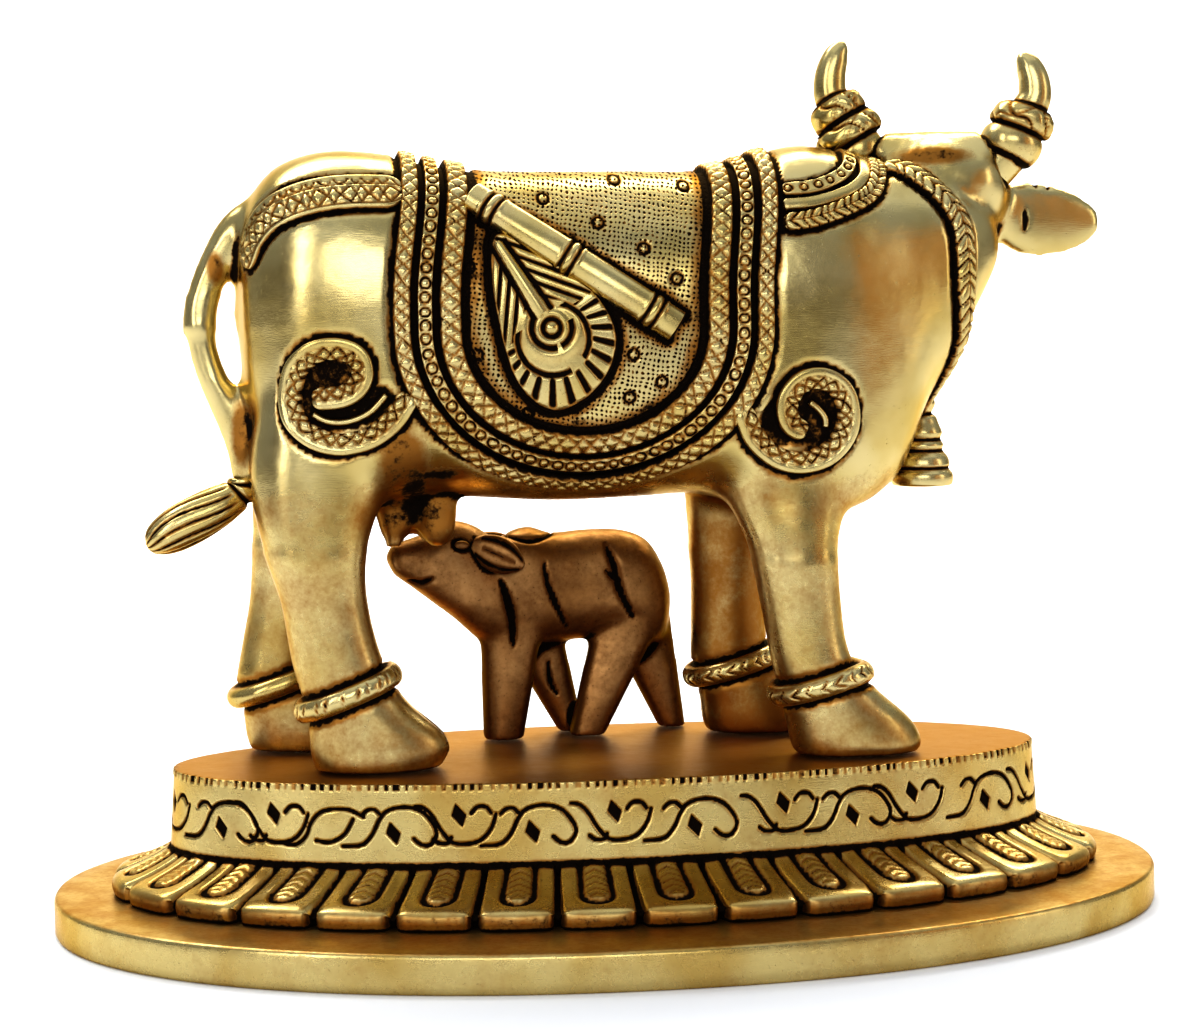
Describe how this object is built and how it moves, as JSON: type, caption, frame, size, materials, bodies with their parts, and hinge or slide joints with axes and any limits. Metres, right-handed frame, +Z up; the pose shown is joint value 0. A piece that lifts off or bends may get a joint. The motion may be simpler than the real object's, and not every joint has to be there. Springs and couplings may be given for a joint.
{
  "type": "cow and calf statue",
  "caption": "Small cast brass cow in carved saddle cloth, looking back over her shoulder at a suckling calf, on an oval stepped lotus base.",
  "frame": {"origin": "middle of the base's flat underside", "axes": "+Z up, +X the way the cow's body faces and along the oval base, +Y the side that her head turns to and the calf stands on"},
  "size_m": [0.178, 0.111, 0.1398],
  "materials": {
    "base_brass": "cast brass, hand chased, rubbed bright on the high places and dark brown in the grooves",
    "cow_brass": "polished cast brass with a pale greenish gold sheen and near-black patina in the carving",
    "calf_brass": "less polished cast brass, toned orange brown"
  },
  "bodies": {
    "root": {"base": "base_brass", "cow": "cow_brass", "calf": "calf_brass"}
  },
  "joints": []
}
